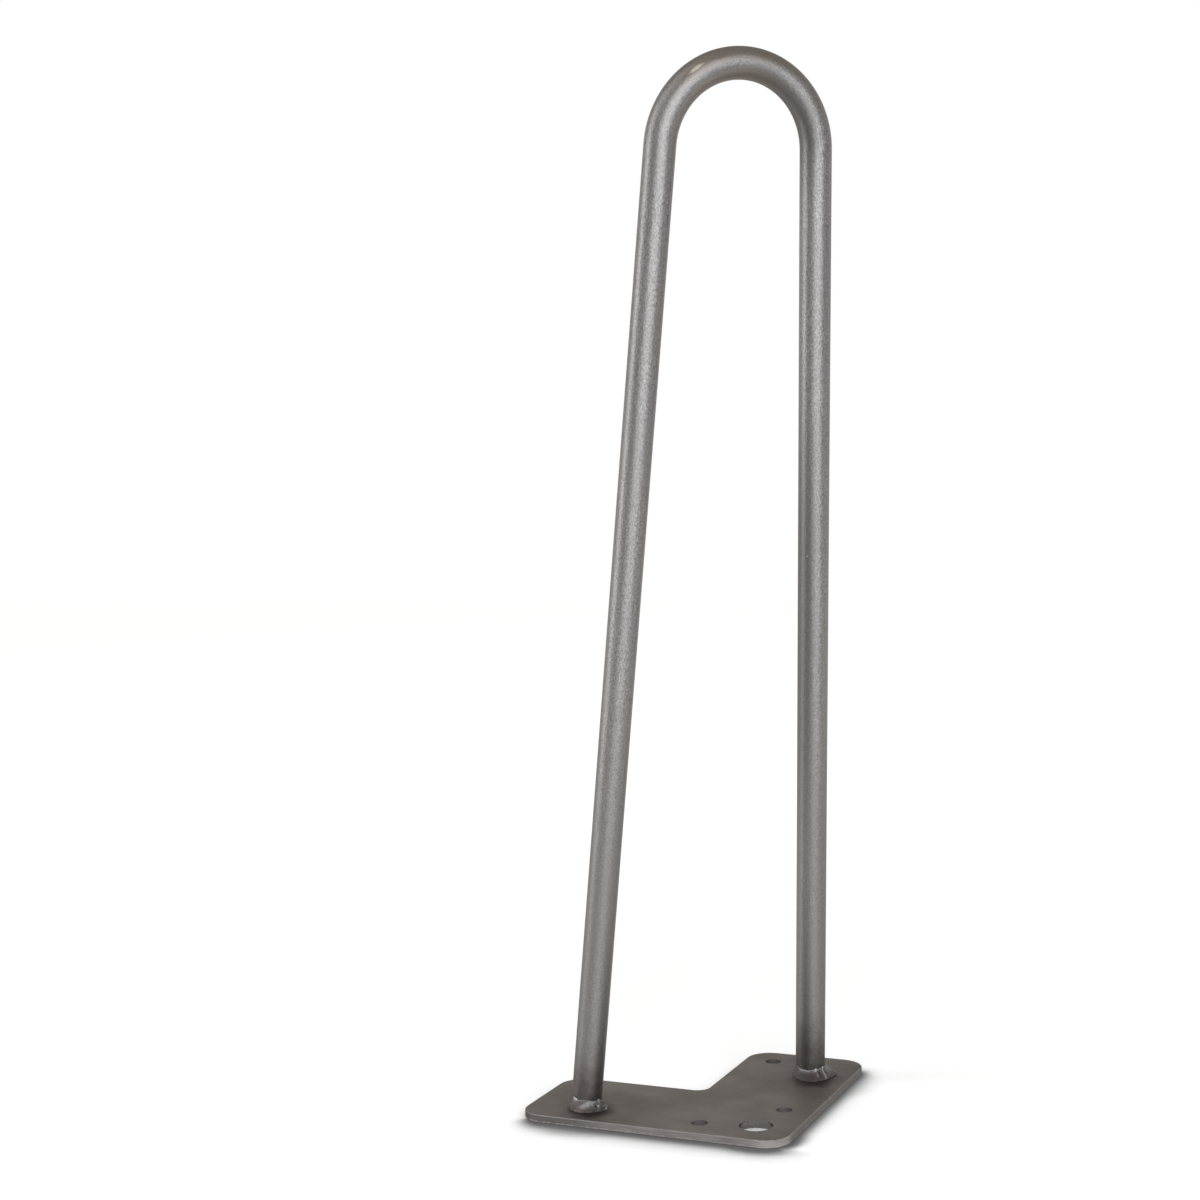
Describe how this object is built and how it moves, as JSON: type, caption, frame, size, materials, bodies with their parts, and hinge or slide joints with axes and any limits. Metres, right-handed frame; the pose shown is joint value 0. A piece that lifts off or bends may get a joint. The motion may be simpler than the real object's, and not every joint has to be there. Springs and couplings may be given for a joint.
{
  "type": "hairpin table leg",
  "caption": "Raw steel hairpin table leg: a round bar bent into a leaning hairpin, welded by its ends to an L-shaped plate with holes for screws under a table corner",
  "frame": {"origin": "centre of the large corner hole, on the mounting face of the plate", "axes": "+Z from the mounting face towards the bend, so up as the leg stands on its plate and down when it is under a table; +X and +Y along the plate's two arms, which lie parallel to the table's edges"},
  "size_m": [0.1266, 0.1266, 0.4064],
  "materials": {
    "bar_steel": "drawn bar, satin, with a light oxide skin",
    "plate_steel": "hot-rolled sheet, dull dark grey, cut edges lighter",
    "weld_metal": "as welded, rippled, with heat tint"
  },
  "bodies": {
    "root": {"hairpin_rod": "bar_steel", "mounting_plate": "plate_steel", "weld_bead_x_arm": "weld_metal", "weld_bead_y_arm": "weld_metal"}
  },
  "joints": []
}
